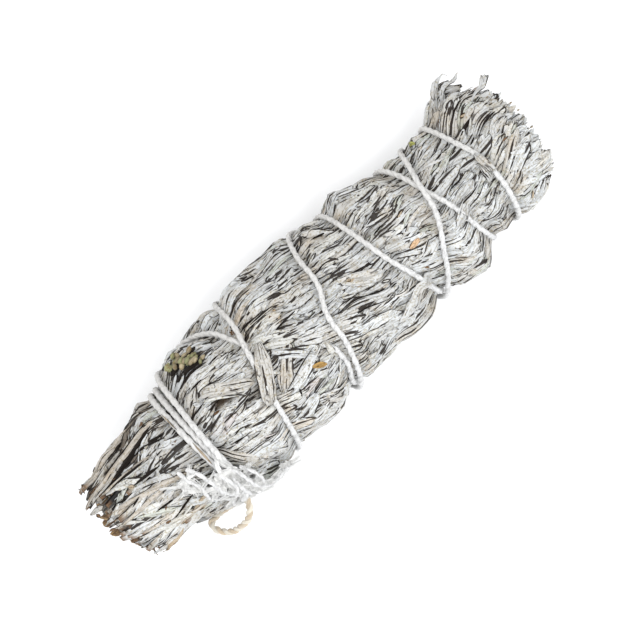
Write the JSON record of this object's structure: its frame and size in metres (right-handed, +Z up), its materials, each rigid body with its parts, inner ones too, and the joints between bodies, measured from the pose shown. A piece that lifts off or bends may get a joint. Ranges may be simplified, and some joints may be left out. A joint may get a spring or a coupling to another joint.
{
  "type": "sage smudge stick",
  "caption": "Dried sage sprigs pressed side by side into a tapered bundle, bound along its length with cotton string that is knotted near the cut stems.",
  "frame": {"origin": "centre of the bounding box's underside, on the surface that the bundle lies on", "axes": "+X from the cut stems to the leaf tips, +Y to the side away from the knot and its loop, +Z up"},
  "size_m": [0.1272, 0.0392, 0.0317],
  "materials": {
    "dried_leaf": "matt, felted, silver grey",
    "woody_stem": "matt, rough bark, pale where cut",
    "flower_bud": "matt, dry",
    "cotton_string": "matt, twisted cotton"
  },
  "bodies": {
    "root": {"sprig_01_leaves": "dried_leaf", "sprig_02_leaves": "dried_leaf", "sprig_03_leaves": "dried_leaf", "sprig_04_leaves": "dried_leaf", "sprig_05_leaves": "dried_leaf", "sprig_06_leaves": "dried_leaf", "sprig_07_leaves": "dried_leaf", "sprig_08_leaves": "dried_leaf", "sprig_09_leaves": "dried_leaf", "sprig_10_leaves": "dried_leaf", "sprig_11_leaves": "dried_leaf", "sprig_12_leaves": "dried_leaf", "sprig_01_stem": "woody_stem", "sprig_02_stem": "woody_stem", "sprig_03_stem": "woody_stem", "sprig_04_stem": "woody_stem", "sprig_05_stem": "woody_stem", "sprig_06_stem": "woody_stem", "sprig_07_stem": "woody_stem", "sprig_08_stem": "woody_stem", "sprig_09_stem": "woody_stem", "sprig_10_stem": "woody_stem", "sprig_11_stem": "woody_stem", "sprig_12_stem": "woody_stem", "flower_buds": "flower_bud", "string": "cotton_string"}
  },
  "joints": []
}
